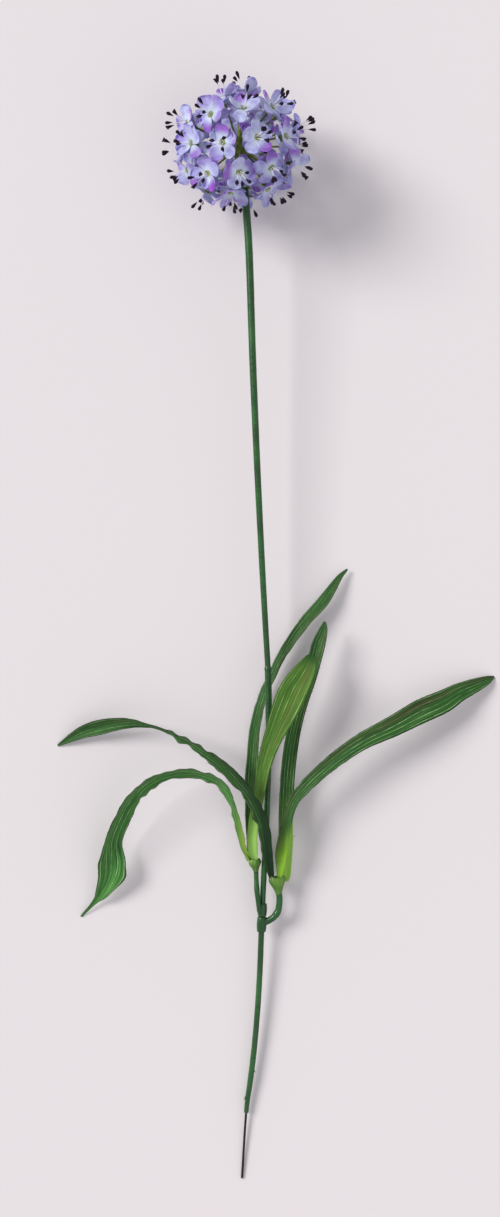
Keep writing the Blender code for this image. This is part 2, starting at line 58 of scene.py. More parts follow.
STEM_PATH = [
    (-5.3, -378, 0.8),
    (-2.5, -333.5, 3.4),
    (0.8, -308, 4.8),
    (3.8, -280, 6.2),
    (6.2, -245, 8.0),
    (7.6, -210, 10.2),
    (8.9, -180, 12.4),
    (10.4, -150, 14.2),
    (11.8, -115, 16.0),
    (12.3, -80, 17.8),
    (11.9, -45, 19.8),
    (10.3, -15, 21.8),
    (7.8, 30, 24.6),
    (4.8, 90, 28.6),
    (1.8, 160, 33.0),
    (-0.6, 230, 37.0),
    (-3.6, 272, 39.8),
]
HEAD_CENTRE = (-7, 296.5, 42)
CAD_WIRE_SIDES = 10
CAD_WIRE_PIECES = 22
WIRE_RADIUS = 0.8
COAT_RADIUS = 1.7
COAT_FOOT_RADIUS = 1.4
COAT_FOOT_Y = -334
SPIGOT_TOP_Y = -46
STEM_SOCKET_FOOT_Y = -74
STEM_SOCKET_RADIUS = 2.1
STEM_RING_Y = -39.5
STEM_RING_RADIUS = 2.3
UPPER_STEM_LOW_RADIUS = 1.8
UPPER_STEM_TOP_RADIUS = 2.45
UPPER_STEM_TOP_Y = 271
LEFT_COLLAR = (-202.5, -194, 2.9)  # low end and high end along Y, and radius
RIGHT_COLLAR = (-213, -203, 3.05)
LEFT_STALK_RADIUS = 1.25
STALK_SKIN = 0.32  # added to the stalks and collars before they are melted together
LEFT_STALK_PATH = [
    (6.3, -199.5, 13.2),
    (5.6, -194, 14.0),
    (4.6, -186, 14.4),
    (4.2, -179, 14.2),
    (4.0, -173.4, 14.0),
]
RIGHT_STALK_RADIUS = 1.75
RIGHT_STALK_PATH = [
    (9.6, -206.6, 10.4),
    (12.4, -205.4, 10.6),
    (15.6, -203.2, 11.0),
    (18.2, -199.6, 11.5),
    (19.2, -195.4, 12.0),
    (19.4, -190, 12.5),
]
LEFT_CUP = ((4, -172.8, 14.0), (2.8, -164.6, 14.3), 4.7, 3.6)  # foot, mouth, half width and half depth
RIGHT_CUP = ((19.1, -188.4, 12.6), (17.5, -176.4, 13.4), 5.4, 3.4)
CUP_DEPTH = 3.2
LEFT_PRONG = ((-5.2, -157.5, 14.5), (-0.8, -165.5, 14.4), 1.3)  # tip, root and radius
RIGHT_PRONG = ((12.6, -170.5, 14.6), (14.2, -176.8, 14.0), 1.2)

# Leaves: x, y and height halfway between the edges, the blade's width, and its roll in degrees.
LEAVES = {
    "leaf_left_low": [
        (-0.5, -163.5, 14, 2.2, 0), (-2, -161, 14.6, 3.6, 15), (-4.5, -156.5, 15.5, 4.8, 35),
        (-7, -145, 17.5, 6.5, 45), (-10, -134.5, 19.5, 7, 50), (-13, -124.5, 21.5, 7.5, 52),
        (-18.5, -115.5, 23.5, 8.5, 52), (-26, -110.5, 25.5, 9.5, 52), (-37.5, -107.5, 27, 11.5, 56),
        (-50.5, -108.5, 27.5, 13, 56), (-63, -113, 27, 13.5, 54), (-75, -123.5, 24.5, 14, 48),
        (-84, -139.5, 20, 15, 43), (-89.5, -154.5, 15.5, 16, 42), (-90.5, -167, 12, 19.5, 14),
        (-92.5, -177.5, 9.5, 16, 8), (-98, -188.5, 6.5, 9, 10), (-102.5, -194, 4.4, 4, 25),
        (-112, -204.5, 0.5, 1.4, 30),
    ],
    "leaf_left_arch": [
        (14, -175.5, 14.6, 3.8, 0), (12.5, -168, 17.5, 6, 10), (11, -158.5, 22, 8, 20),
        (10, -149.5, 25.5, 9, 25), (8, -139.5, 28, 9.5, 25), (4, -129.5, 30, 9.5, 25),
        (-1.5, -120, 31, 9.5, 28), (-6.5, -114.5, 31.3, 9.5, 30), (-12, -108, 31.3, 9.5, 32),
        (-22.5, -99, 30.5, 9, 38), (-34, -91.5, 28.5, 9, 48), (-45.5, -85, 25.5, 8.5, 60),
        (-57.5, -79.5, 22, 8, 72), (-66.5, -77, 19, 8, 68), (-76, -75.5, 16, 8.5, 42),
        (-87, -76, 12.5, 9.5, 20), (-97.5, -78, 9.5, 11, 15), (-108.5, -81, 6.5, 9.5, 12),
        (-118, -85.5, 4, 6, 5), (-127.5, -91, 0.4, 1.4, 0),
    ],
    "leaf_rear_tall": [
        (3.5, -165, 13.2, 3.6, 0), (1.5, -159, 12, 6.5, 0), (1, -151, 11, 7, 0),
        (0.5, -139.5, 10.4, 7.5, 0), (0.5, -126, 10, 8, 10), (0.5, -113, 9.8, 8.5, 15),
        (1.5, -98.5, 9.6, 8.5, 20), (2.5, -83.5, 9.5, 8.5, 30), (5, -69.5, 9.5, 8.5, 40),
        (9, -55.5, 9.5, 8.5, 48), (13, -47, 9.5, 8.5, 52), (19, -34, 9.5, 8.5, 48),
        (27, -21, 9.2, 9, 42), (37, -7.5, 8.5, 9, 35), (47.5, 4, 7.2, 8.5, 20),
        (54, 13, 5.8, 6.5, 10), (59.5, 21, 4.4, 3.8, 5), (64.5, 26, 3, 1.2, 0),
    ],
    "leaf_front_pale": [
        (3.5, -165, 15.2, 3.6, 0), (2, -158.5, 16.4, 6.5, 0), (1.5, -149, 17.8, 7, 0),
        (3, -137, 19.6, 7.5, 0), (5, -125, 21.4, 8, 0), (7, -114, 23.2, 8.5, 0),
        (9, -102.5, 25, 10, 0), (13, -89, 27, 12, 0), (18, -76.5, 28.6, 15.2, 0),
        (22.5, -66, 30, 18.6, 0), (27, -55.5, 31.4, 20, 0), (32, -46.5, 32.4, 18, 0),
        (36.5, -39, 32.2, 14, 0), (39, -34, 30.6, 9.5, 0), (41, -31, 27.4, 5.5, 0),
    ],
    "leaf_upright": [
        (24, -180, 8.2, 3, 0), (23.5, -176, 8.6, 7, 0), (23, -167, 9.6, 9.5, 0),
        (23.5, -153.5, 11, 10, 0), (23.5, -139, 12.4, 10, 0), (24, -122.5, 13.6, 10, 4),
        (25, -106, 14.6, 10, 5), (27, -89.5, 15.4, 10, 6), (30, -74.5, 16.2, 9.5, 10),
        (34, -60, 17, 9.5, 12), (38.5, -47, 17.6, 9.5, 10), (42, -34.5, 18, 9.5, 6),
        (45, -23, 18, 9.3, 4), (48, -14, 17.5, 6, 0), (49, -8.5, 16.8, 1.4, 0),
    ],
    "leaf_right_long": [
        (19.5, -175, 14.8, 4, 0), (20, -169, 16.4, 6, 5), (20.5, -160, 18.4, 8.5, 10),
        (22, -148.5, 20.4, 7.5, 15), (25, -135, 21.8, 7.2, 22), (29, -124.5, 22.4, 8, 25),
        (36, -116, 22.8, 9.5, 28), (46.5, -106, 23, 10.5, 26), (59.5, -95.5, 22.6, 11.5, 26),
        (75, -85.5, 21.4, 13, 25), (93, -77, 19, 15, 20), (111.5, -67.5, 15.4, 17, 14),
        (127, -61, 12, 16, 10), (137, -55.5, 9.4, 13, 6), (148, -51, 6, 10, 4),
        (157, -47.5, 3.2, 6, 0), (162, -45.5, 0.4, 1.6, 0),
    ],
}
LEAF_FOLD = 20  # degrees

HUB_RADIUS = 6.5
HUB_NECK_LENGTH = 7.5
HUB_WALL = 1.0
HEAD_RADIUS_ACROSS = 38.5
HEAD_RADIUS_ALONG = 33.5
UPPER_FLORETS = [
    (15, 205), (18, 347), (31, 86), (36, 148), (34, 274), (46, 38), (48, 112), (47, 0), (47, 182),
    (47, 310), (52, 232), (66, 205), (76, 15), (78, 340), (74, 262), (78, 296), (78, 92), (72, 160),
]
LOWER_FLORETS = 14
LOWER_RANGE = (-0.16, -0.98)  # cosines of the first and last lower florets' tilts
FIRST_LOWER_BEARING = 40
SPREAD_DEGREES = 33
STEM_CLEARANCE_DEGREES = 30
SPREAD_ROUNDS = 120
SPREAD_STEP = 0.25
STEM_PUSH = 3
NO_FLORET_WAY = (0.31, 0.2, 0.93)
GAP = 0.3
PEDICEL_RADIUS = 0.85
CALYX_LENGTH = 7
PETALS = 5
STAMENS = 4
STAMEN_LENGTH = 12.5
STAMEN_SPLAY = 17
STAMEN_REST_HEIGHT = 1.5

# ---------------- finer sizes of the looks, in mm

WIRE_OVERLAP = 30  # how far the wire runs on inside the coat
COAT_OVERLAP = 20  # how far the coat stops below the top of the CAD's spigot, inside the socket
COAT_SKIN = 0.1  # the looks' coat stands out this far past the CAD's
BARBS = ((-323, -1, 2.6), (-305, 1, 2.0))  # place along Y, side of the stem, and length
RING_HALF_LENGTH = 1.2
MELT_VOXEL = 0.28
CUP_REACH = 0.22  # share of a cup's length that its stalk runs on inside
CUP_SIDES = 64
CUP_OUTSIDE = [  # share of the cup's length, and shares of its half width and half depth there
    (0.0, 0.2, 0.3), (0.01, 0.36, 0.56), (0.15, 0.41, 0.64), (0.3, 0.52, 0.74), (0.45, 0.66, 0.84),
    (0.58, 0.8, 0.92), (0.7, 0.88, 0.96), (0.82, 0.87, 0.94), (0.93, 0.79, 0.86), (1.0, 0.7, 0.76),
]
CUP_RIBS = 9
RIGHT_CUP_FLARE = 0.36  # share by which the right cup's mouth is wider than the left's pinched one
LEAF_SEED = 40
LEAF_ROWS = 170
LEAF_COLUMNS = 12
LEAF_SHEET = 0.32
LEAF_FOOT = 0.6  # share of the first station's width, and of the step after it, added inside the cup
RIPPLE_END = 0.56  # share along a leaf at which its ripple begins to die down
RIPPLE_FADE = 0.12
CALM_RIPPLE = 0.5
DARK_TIP_START = 0.9
FIBRES_PER_LEAF = 26
LOW_LEAF_CORNER = 0.825  # share along the low left leaf at which its inner edge comes to a blunt corner
CORNER_BULGE = 0.27  # share of the half-width
CORNER_LENGTH = 0.024
FLORET_SEED = 700
FLORET_TURN = 137.5  # degrees from each floret to the next about its own axis
PETAL_REACH = 11.9
PETAL_HALF_WIDTH = 4.9
PETAL_ROOT_HALF_WIDTH = 1.1
PETAL_WIDEST = 0.68  # share along a petal
PETAL_START = 0.7  # distance from the throat's centre
PETAL_LAYER = 0.28  # how far every other petal stands in front of its neighbours
PETAL_ROWS = 12
PETAL_COLUMNS = 10
PETAL_SHEET = 0.22
FUNNEL_PROFILE = ((-1.2, 1.0), (-0.3, 1.25), (0.2, 1.7), (0.35, 2.1))  # place along the axis and radius
FUNNEL_SIDES = 16
WHORL_SPACING = 5.0
BACK_WHORL = 0.83  # size of the whorl behind, as a share of the front one
FLORET_NOD = 0.26  # how far a floret's face may lean from its stalk's direction
PEDICEL_SIDES = 20
STAMEN_STEPS = 20
FILAMENT_RADIUS = 0.2
CLUB_LENGTH = 4.6
CLUB_RADIUS = 1.15
ANTHER_SHARE = 0.45  # stamens that end in a crossbar
ANTHER_HALF_LENGTH = 1.6
ANTHER_RADIUS = 0.85
ANTHER_LOWEST = 1.1
LOWEST = 0.12  # least height of the fabric above the table

CAMERA_HEIGHT = 1300
VIEW_LENGTH = 808.1  # along Y on the table plane
FLOOR_REACH = 6.0  # metres each way


# ---------------- curves and frames

def catmull(a, b, c, d, t):
    """One value on the curve between b and c."""
    square = 2 * a - 5 * b + 4 * c - d
    cube = 3 * b - a - 3 * c + d
    return 0.5 * (2 * b + (c - a) * t + square * t * t + cube * t ** 3)


def smooth_path(points, steps):
    """A Catmull-Rom curve through rows of numbers."""
    rows = [list(map(float, p)) for p in points]
    first = [2 * a - b for a, b in zip(rows[0], rows[1])]
    last = [2 * a - b for a, b in zip(rows[-1], rows[-2])]
    rows = [first, *rows, last]
    found = []
    for i in range(1, len(rows) - 2):
        for step in range(steps):
            t = step / steps
            found.append([catmull(rows[i - 1][k], rows[i][k], rows[i + 1][k], rows[i + 2][k], t)
                          for k in range(len(rows[i]))])
    found.append(rows[-2])
    return found


def resample(rows, count):
    """The same curve with evenly spaced rows."""
    places = [Vector(row[:3]) for row in rows]
    run = [0.0]
    for a, b in zip(places, places[1:]):
        run.append(run[-1] + (b - a).length)
    found = []
    i = 0
    for step in range(count):
        goal = run[-1] * step / (count - 1)
        while i < len(run) - 2 and run[i + 1] < goal:
            i += 1
        share = (goal - run[i]) / max(run[i + 1] - run[i], 1e-9)
        found.append([a + (b - a) * share for a, b in zip(rows[i], rows[i + 1])])
    return found


def tangents(places):
    """The direction of travel at each place on a path."""
    last = len(places) - 1
    return [(places[min(i + 1, last)] - places[max(i - 1, 0)]).normalized() for i in range(last + 1)]


def ring_about(centre, tangent, radius, sides, depth=None):
    """A round or oval ring of points across a tangent."""
    tangent = tangent.normalized()
    side = tangent.cross(UP).normalized()
    up = side.cross(tangent)
    depth = radius if depth is None else depth
    points = []
    for i in range(sides):
        angle = 2 * math.pi * i / sides
        points.append(centre + side * radius * math.cos(angle) + up * depth * math.sin(angle))
    return points


STEM_ROWS = smooth_path(STEM_PATH, 8)


def stem_point(y):
    """The place on the stem's centreline at this distance along Y."""
    for a, b in zip(STEM_ROWS, STEM_ROWS[1:]):
        if a[1] <= y <= b[1]:
            return Vector(a).lerp(Vector(b), (y - a[1]) / (b[1] - a[1]))
    return Vector(STEM_ROWS[0] if y < STEM_ROWS[0][1] else STEM_ROWS[-1])


def stem_stretch(start, end, pieces):
    """Places along the stem at even steps of Y."""
    return [stem_point(start + (end - start) * i / pieces) for i in range(pieces + 1)]


def frame_shift():
    """From the places above to the CAD's frame, by the lowest corner of the wire's first ring and box."""
    low, high = STEM_PATH[0][1], SPIGOT_TOP_Y - 4
    foot, following = stem_stretch(low, high, CAD_WIRE_PIECES)[:2]
    ring = ring_about(foot, following - foot, WIRE_RADIUS, CAD_WIRE_SIDES)
    corner = Vector([min(p[k] for p in ring) for k in range(3)])
    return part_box("stem_wire")[0] / MM - corner


SHIFT = frame_shift()


def world(place):
    """A place of this script's in the CAD's frame, in metres."""
    return (Vector(place) + SHIFT) * MM


def link(thing):
    bpy.context.scene.collection.objects.link(thing)


def wobble(x, y, z):
    """A smooth random number between about -1 and 1 that belongs to a place."""
    return noise.noise(Vector((x, y, z)))


def random_vector(rng):
    return Vector((rng.uniform(-1, 1), rng.uniform(-1, 1), rng.uniform(-1, 1)))


# ---------------- meshes

def make_piece(name, built, material, nodes, smooth_angle=50):
    """A named piece from what a Build holds."""
    mesh = bpy.data.meshes.new(name)
    mesh.from_pydata([world(v) for v in built.verts], [], built.faces)
    mesh.validate()
    layer = mesh.attributes.new("looks", "FLOAT_VECTOR", "POINT")
    layer.data.foreach_set("vector", [number for row in built.looks for number in row])
    mesh.materials.append(material)
    mesh.shade_smooth()
    mesh.set_sharp_from_angle(angle=math.radians(smooth_angle))
    piece = bpy.data.objects.new(name, mesh)
    link(piece)
    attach(piece, "root")
    if nodes:
        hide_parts(*nodes)
    return piece


class Build:
    """A piece's vertices in mm, its faces, and its looks: three numbers a vertex for a material to read."""

    def __init__(self):
        self.verts = []
        self.faces = []
        self.looks = []

    def tube(self, rings, looks=None, caps=True):
        """A tube through rings of points; looks is one row for each ring."""
        looks = looks or [(0, 0, 0)] * len(rings)
        start = len(self.verts)
        count = len(rings[0])
        for ring, row in zip(rings, looks):
            self.verts += ring
            self.looks += [row] * count
        for r in range(len(rings) - 1):
            for i in range(count):
                j = (i + 1) % count
                a, b = start + r * count, start + (r + 1) * count
                self.faces.append((a + i, a + j, b + j, b + i))
        if caps:
            end = start + (len(rings) - 1) * count
            self.faces.append(tuple(range(start, start + count))[::-1])
            self.faces.append(tuple(range(end, end + count)))

    def grid(self, rows, looks):
        """A sheet through rows of points."""
        start = len(self.verts)
        wide = len(rows[0])
        for row, values in zip(rows, looks):
            self.verts += row
            self.looks += values
        for r in range(len(rows) - 1):
            for c in range(wide - 1):
                a = start + r * wide + c
                self.faces.append((a, a + 1, a + wide + 1, a + wide))


def swept(places, radius_of, sides):
    """Rings along a path; radius_of takes the share of the path and the angle."""
    rings = []
    last = len(places) - 1
    for n, (place, tangent) in enumerate(zip(places, tangents(places))):
        side = tangent.cross(UP).normalized()
        up = side.cross(tangent)
        ring = []
        for i in range(sides):
            angle = 2 * math.pi * i / sides
            radius = radius_of(n / last, angle)
            ring.append(place + side * radius * math.cos(angle) + up * radius * math.sin(angle))
        rings.append(ring)
    return rings


# ---------------- materials

class Shader:
    """A Principled material and short ways to make the nodes that drive it."""

    def __init__(self, name, roughness=0.5, metallic=0.0, specular=0.5):
        self.material = bpy.data.materials.new(name)
        self.material.use_nodes = True
        self.tree = self.material.node_tree
        self.shader = self.tree.nodes["Principled BSDF"]
        self.shader.inputs["Roughness"].default_value = roughness
        self.shader.inputs["Metallic"].default_value = metallic
        self.shader.inputs["Specular IOR Level"].default_value = specular

    def node(self, kind, inputs=(), **settings):
        made = self.tree.nodes.new(kind)
        for key, value in settings.items():
            setattr(made, key, value)
        for key, value in dict(inputs).items():
            self.put(made.inputs[key], value)
        return made

    def put(self, socket, value):
        if isinstance(value, bpy.types.NodeSocket):
            self.tree.links.new(value, socket)
        else:
            socket.default_value = value

    def looks(self):
        """The three numbers that the mesh gives each vertex."""
        read = self.node("ShaderNodeAttribute", attribute_name="looks")
        parts = self.node("ShaderNodeSeparateXYZ", {0: read.outputs["Vector"]})
        return parts.outputs[0], parts.outputs[1], parts.outputs[2]

    def position(self):
        return self.node("ShaderNodeTexCoord").outputs["Object"]

    def vector(self, x, y, z):
        return self.node("ShaderNodeCombineXYZ", {0: x, 1: y, 2: z}).outputs[0]

    def maths(self, operation, a, b=0.0, c=0.0):
        return self.node("ShaderNodeMath", {0: a, 1: b, 2: c}, operation=operation).outputs[0]

    def stretched(self, vector, scales):
        return self.node("ShaderNodeMapping", {0: vector, 3: scales}).outputs[0]

    def times(self, a, b):
        return self.maths("MULTIPLY", a, b)

    def noise(self, vector, scale, detail=2.0, rough=0.5):
        made = self.node("ShaderNodeTexNoise", {"Vector": vector, "Scale": scale, "Detail": detail,
                                                "Roughness": rough})
        return made.outputs["Fac"]

    def between(self, value, low, high, to_low=0.0, to_high=1.0):
        """The value's place between two limits, eased and clamped."""
        made = self.node("ShaderNodeMapRange", {0: value, 1: low, 2: high, 3: to_low, 4: to_high},
                         interpolation_type="SMOOTHSTEP")
        return made.outputs[0]

    def mix(self, share, a, b, blend="MIX"):
        made = self.node("ShaderNodeMix", data_type="RGBA", blend_type=blend)
        self.put(made.inputs[0], share)
        self.put(made.inputs[6], a)
        self.put(made.inputs[7], b)
        return made.outputs[2]

    def colour(self, value):
        self.put(self.shader.inputs["Base Color"], value)

    def rough(self, value):
        self.put(self.shader.inputs["Roughness"], value)

    def bump(self, height, distance, strength=1.0):
        made = self.node("ShaderNodeBump", {"Height": height, "Distance": distance, "Strength": strength})
        self.tree.links.new(made.outputs[0], self.shader.inputs["Normal"])


def rgb(red, green, blue):
    """A colour given as on a screen, 0 to 255, made linear."""
    screen = [v / 255 for v in (red, green, blue)]
    return (*(((v + 0.055) / 1.055) ** 2.4 if v > 0.04045 else v / 12.92 for v in screen), 1)


def petal_material():
    """Thin printed fabric. Looks are share out from the throat, violet print, and paleness of its own."""
    s = Shader("petal_fabric", roughness=0.62, specular=0.3)
    out, violet, own = s.looks()
    position = s.position()
    pale = s.mix(own, rgb(152, 152, 214), rgb(196, 206, 240))
    cloud = s.between(s.noise(position, 210, 3), 0.35, 0.7)
    body = s.mix(s.times(cloud, 0.65), pale, rgb(124, 108, 196))
    print_share = s.times(violet, s.between(out, 0.3, 0.75))
    blotch = s.between(s.noise(position, 160, 2), 0.3, 0.6, 0.6, 1.0)
    body = s.mix(s.times(print_share, blotch), body, rgb(136, 52, 184))
    body = s.mix(s.between(out, 0.6, 0.12, 0.0, 0.85), body, rgb(208, 218, 242))
    body = s.mix(s.between(out, 0.17, 0.05), body, rgb(140, 156, 70))
    body = s.mix(s.between(out, 0.93, 1.0, 0.0, 0.45), body, rgb(96, 80, 176))
    s.colour(body)
    weave = s.node("ShaderNodeTexVoronoi", {"Vector": position, "Scale": 2600.0}, feature="F1")
    s.bump(s.maths("ADD", weave.outputs["Distance"], s.times(cloud, 1.5)), 0.00012, 0.5)
    s.shader.inputs["Sheen Weight"].default_value = 0.25
    s.shader.inputs["Subsurface Weight"].default_value = 0.25
    s.shader.inputs["Subsurface Radius"].default_value = (0.002, 0.002, 0.003)
    s.shader.inputs["Subsurface Scale"].default_value = 1.0
    return s.material


def stamen_material():
    """White filaments dipped in black-purple. The first of the looks is 0.6 where the club starts."""
    s = Shader("stamen_filament", roughness=0.5, specular=0.2)
    along = s.looks()[0]
    dark = s.mix(s.noise(s.position(), 900, 2), rgb(9, 3, 12), rgb(34, 14, 42))
    s.colour(s.mix(s.between(along, 0.58, 0.64), rgb(226, 226, 232), dark))
    s.rough(s.between(along, 0.6, 0.7, 0.4, 0.65))
    s.bump(s.noise(s.position(), 2200, 2), 0.0001, 0.6)
    return s.material


def moulded_material(name, dark, light, roughness, grain=1.0):
    """Injection-moulded plastic: faint cloudiness, fine lines along Y, and scuffs."""
    s = Shader(name, roughness=roughness)
    position = s.position()
    cloud = s.between(s.noise(position, 60, 4), 0.35, 0.68)
    streak = s.noise(s.stretched(position, (900.0, 25.0, 900.0)), 1.0, 3)
    body = s.mix(cloud, dark, light)
    body = s.mix(s.between(streak, 0.58, 0.72, 0.0, 0.35), body, light)
    s.colour(body)
    s.rough(s.between(s.noise(position, 400, 3), 0.3, 0.7, roughness - 0.08, roughness + 0.14))
    pitted = s.noise(position, 1500, 3)
    s.bump(s.maths("ADD", pitted, s.times(streak, 0.8)), 0.00008 * grain, 0.6)
    return s.material


def wire_material():
    """Dull drawn steel with brown rust spots."""
    s = Shader("bare_wire", roughness=0.42, metallic=0.85)
    position = s.position()
    rust = s.between(s.noise(position, 350, 4), 0.52, 0.66)
    s.colour(s.mix(rust, rgb(52, 50, 46), rgb(58, 42, 32)))
    s.rough(s.between(rust, 0.0, 1.0, 0.34, 0.75))
    drawn_lines = s.noise(s.stretched(position, (3000.0, 120.0, 3000.0)), 1.0, 2)
    s.bump(drawn_lines, 0.00006, 0.5)
    return s.material


# Colours of a blade in shade and light, of its fine lines, and of its edges.
LEAF_PRINTS = {
    "dark": ((12, 54, 14), (56, 108, 42), (176, 208, 150), (34, 34, 26)),
    # The low print is a brighter copy of the dark one: painted light on the low left leaf, whose face turns
    # away from the lamps.
    "low": ((26, 82, 28), (84, 146, 66), (188, 218, 160), (44, 44, 34)),
    "pale": ((52, 96, 26), (94, 136, 52), (170, 200, 116), (40, 66, 20)),
}
DARK_TIP = (30, 82, 22)
# Print, colour of the foot, stripe (colour, place across, width, strength), ripple, share that is foot.
LEAF_LOOKS = {
    "leaf_left_low": ("low", (116, 146, 50), ((60, 96, 40), 0.5, 0.4, 0.3), 2.6, 0.2),
    # The left arch leaf's near-black foot colour is painted shade.
    "leaf_left_arch": ("dark", (8, 40, 8), ((62, 58, 30), 0.5, 0.4, 0.4), 3.2, 0.62),
    "leaf_rear_tall": ("dark", (92, 142, 48), ((62, 58, 30), 0.5, 0.4, 0.45), 0.7, 0.2),
    "leaf_front_pale": ("pale", (138, 184, 86), ((74, 76, 22), 0.35, 0.5, 0.7), 0.7, 0.4),
    "leaf_upright": ("dark", (158, 206, 88), ((62, 58, 30), 0.5, 0.4, 0.45), 0.7, 0.36),
    "leaf_right_long": ("dark", (124, 170, 46), ((72, 56, 36), -0.55, 0.4, 0.55), 1.3, 0.2),
}


def leaf_material(name, leaf_print, foot, stripe_look):
    """Printed stiff fabric.

    Looks are place across the blade from -1 to 1, mm along it, and a number that climbs to 1 where the
    pale foot ends and to 2 at a dark tip.
    """
    s = Shader(name, roughness=0.58, specular=0.22)
    body_dark, body_light, vein, edge = (rgb(*one) for one in leaf_print)
    stripe, stripe_place, stripe_width, stripe_strength = stripe_look
    across, along, share = s.looks()
    wide = s.vector(s.times(across, 9.0), s.times(along, 0.035), 0.0)
    fine = s.vector(s.times(across, 34.0), s.times(along, 0.09), 0.0)
    body = s.mix(s.between(s.noise(wide, 1.0, 3), 0.3, 0.75), body_dark, body_light)
    body = s.mix(s.between(s.noise(fine, 1.0, 3), 0.5, 0.75, 0.0, 0.45), body, body_light)
    sway = s.noise(s.vector(0.0, s.times(along, 0.05), across), 1.0, 2)
    sway = s.times(sway, 0.22)
    place = s.maths("ADD", s.times(across, 2.35), sway)
    line = s.maths("PINGPONG", place, 0.5)
    width = s.noise(s.vector(across, s.times(along, 0.08), 3.0), 2.0, 2)
    width = s.between(width, 0.3, 0.7, 0.03, 0.075)
    mask = s.maths("SUBTRACT", 1.0, s.between(line, s.times(width, 0.3), width))
    strength = s.noise(s.vector(across, s.times(along, 0.03), 7.0), 1.5, 2)
    strength = s.between(strength, 0.3, 0.62, 0.15, 0.95)
    body = s.mix(s.times(mask, strength), body, vein)
    middle = s.between(s.maths("ABSOLUTE", s.maths("SUBTRACT", across, stripe_place)), stripe_width, 0.0)
    patch = s.between(s.noise(s.vector(0.0, s.times(along, 0.014), 4.0), 1.6, 2), 0.3, 0.6)
    streak = s.times(s.times(middle, patch), stripe_strength)
    body = s.mix(streak, body, rgb(*stripe))
    rim = s.between(s.maths("ABSOLUTE", across), 0.84, 1.0)
    body = s.mix(s.times(rim, 0.75), body, edge)
    lean = s.times(s.times(across, 0.55), s.maths("SUBTRACT", 1.0, share))
    # The foot colour is the blade's own paler base; on the left arch leaf it is painted shade.
    body = s.mix(s.between(s.maths("SUBTRACT", share, lean), 1.0, 0.15), body, rgb(*foot))
    body = s.mix(s.between(share, 1.1, 1.9, 0.0, 0.8), body, rgb(*DARK_TIP))
    s.colour(body)
    s.rough(s.between(s.noise(fine, 1.3, 2), 0.3, 0.7, 0.46, 0.7))
    threads = s.node("ShaderNodeTexWave", {"Vector": s.vector(s.times(across, 5.0), along, 0.0),
                                           "Scale": 2.2, "Distortion": 1.5}, bands_direction="DIAGONAL")
    ridge = s.times(mask, 1.6)
    s.bump(s.maths("ADD", ridge, s.times(threads.outputs["Fac"], 0.25)), 0.00014, 0.7)
    s.shader.inputs["Sheen Weight"].default_value = 0.04
    return s.material


# ---------------- stem

def build_wire(material):
    """The bare steel wire, a little narrower at its cut foot."""
    built = Build()
    places = stem_stretch(STEM_PATH[0][1], COAT_FOOT_Y + WIRE_OVERLAP, 60)

    def radius_of(share, angle):
        if share == 0:
            return (WIRE_RADIUS - 0.02) * 0.9
        return WIRE_RADIUS - 0.02 + wobble(share * 40, math.cos(angle), math.sin(angle)) * 0.04

    built.tube(swept(places, radius_of, 20))
    make_piece("wire_rod", built, material, ["stem_wire"])


def build_lower_stem(material):
    """The coat over the wire, thin and torn off at its foot, with seam lines and barbs of mould flash."""
    built = Build()
    places = stem_stretch(COAT_FOOT_Y, SPIGOT_TOP_Y - COAT_OVERLAP, 260)

    def radius_of(share, angle):
        base = COAT_FOOT_RADIUS + (COAT_RADIUS + COAT_SKIN - COAT_FOOT_RADIUS) * min(share * 12, 1)
        seam = 0.12 * math.exp(-(math.sin(angle) * 9) ** 2)
        bumps = wobble(share * 60, math.cos(angle) * 1.5, math.sin(angle) * 1.5) * 0.07
        torn = -0.25 * (share < 0.003)
        return base + seam + bumps + torn

    built.tube(swept(places, radius_of, 28))
    for barb in BARBS:
        add_barb(built, *barb)
    make_piece("stem_coat", built, material, ["lower_stem"])


def add_barb(built, y, side, length):
    """A little fin of mould flash that stands off the side of the stem, pointing down it."""
    centre = stem_point(y)
    rings = []
    for step in range(6):
        share = step / 5
        place = centre + Vector((side * (COAT_RADIUS * 0.8 + length * 0.5 * share), -length * share, 0))
        wide, deep = 0.75 * (1 - share) + 0.05, 0.3 * (1 - share) + 0.04
        rings.append(ring_about(place, Vector((side, -0.8, 0)), wide, 8, deep))
    built.tube(rings)


def build_upper_stem(material):
    """The smooth tube under the head: a socket with a raised ring at its foot, and a slow taper above."""
    built = Build()
    foot, top = STEM_SOCKET_FOOT_Y, UPPER_STEM_TOP_Y
    places = stem_stretch(foot, top, 460)

    def radius_of(share, angle):
        y = foot + (top - foot) * share
        growth = UPPER_STEM_TOP_RADIUS - UPPER_STEM_LOW_RADIUS
        if y < STEM_RING_Y - RING_HALF_LENGTH:
            base = STEM_SOCKET_RADIUS - 0.25 * math.exp(-((y - foot) / 0.6) ** 2)
        elif y < STEM_RING_Y + RING_HALF_LENGTH:
            base = STEM_RING_RADIUS - 0.12 * ((y - STEM_RING_Y) / RING_HALF_LENGTH) ** 2
        else:
            base = UPPER_STEM_LOW_RADIUS + growth * max(share - 0.1, 0) / 0.9
        seam = 0.07 * math.exp(-(math.sin(angle) * 10) ** 2)
        return base + seam + wobble(y * 0.09, math.cos(angle), math.sin(angle)) * 0.05

    built.tube(swept(places, radius_of, 32))
    make_piece("stem_tube", built, material, ["upper_stem"])


